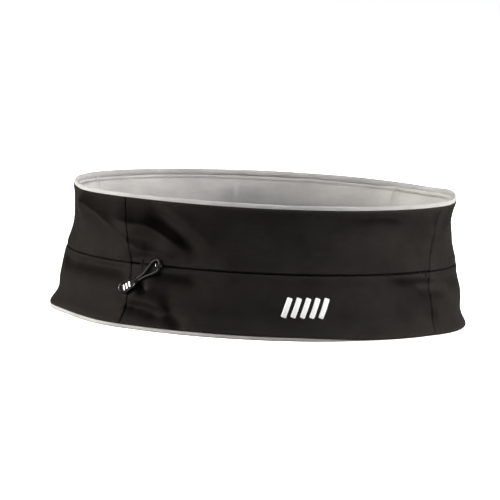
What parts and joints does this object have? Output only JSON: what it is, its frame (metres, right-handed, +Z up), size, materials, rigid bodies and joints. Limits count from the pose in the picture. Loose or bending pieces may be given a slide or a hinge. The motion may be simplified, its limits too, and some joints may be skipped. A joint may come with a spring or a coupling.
{
  "type": "money belt",
  "caption": "Stretch tube money belt worn round the waist, with a flat zipped pocket along its front and a corded zip pull.",
  "frame": {"origin": "centre of the belt's oval, on the plane of its lower edge", "axes": "+Z up as worn, -Y out through the zipped front, +X towards the end where the zip opens to"},
  "size_m": [0.3406, 0.2588, 0.105],
  "materials": {
    "stretch_fabric": "fine knit, slight sheen",
    "lining_fabric": "smooth knit",
    "piping": "soft folded edge",
    "zip_tape": "woven tape",
    "zip_coil": "moulded nylon",
    "zip_stop": "moulded nylon",
    "thread": "satin stitch",
    "reflective_film": "silver heat-transfer film",
    "slider_metal": "black, worn bright at the bridge",
    "cord": "braided",
    "grip_rubber": "satin moulded",
    "mark_ink": "white print"
  },
  "bodies": {
    "belt": {"front_lower_panel": "stretch_fabric", "front_upper_panel": "stretch_fabric", "front_lining": "lining_fabric", "right_lower_panel": "stretch_fabric", "right_upper_panel": "stretch_fabric", "right_lining": "lining_fabric", "back_lower_panel": "stretch_fabric", "back_upper_panel": "stretch_fabric", "back_lining": "lining_fabric", "left_lower_panel": "stretch_fabric", "left_upper_panel": "stretch_fabric", "left_lining": "lining_fabric", "bottom_piping": "piping", "top_piping": "piping", "zip_tape_upper": "zip_tape", "zip_tape_lower": "zip_tape", "zip_coil_upper": "zip_coil", "zip_coil_lower": "zip_coil", "zip_top_stops": "zip_stop", "zip_bottom_stop": "zip_stop", "bar_tacks": "thread", "reflective_print": "reflective_film"},
    "slider": {"zip_slider": "slider_metal"},
    "cord": {"pull_cord": "cord"},
    "grip": {"cord_grip": "grip_rubber", "grip_mark": "mark_ink"}
  },
  "joints": [
    {"name": "zip_slide", "type": "hinge", "parent": "belt", "child": "slider", "pos_m": [0, 0.0766, 0.051], "axis": [0, 0, 1], "range_deg": [0, 63.5], "deforming": ["zip_coil_upper", "zip_coil_lower"]},
    {"name": "pull_swing", "type": "hinge", "parent": "slider", "child": "cord", "pos_m": [-0.10368, -0.09127, 0.05132], "axis": [-0.5506, -0.8085, 0.2077], "range_deg": [-37, 100], "deforming": ["pull_cord"]},
    {"name": "grip_lift", "type": "hinge", "parent": "cord", "child": "grip", "pos_m": [-0.11923, -0.08396, 0.03857], "axis": [-0.4108, 0.4791, 0.7757], "range_deg": [0, 60], "deforming": ["pull_cord"]}
  ]
}
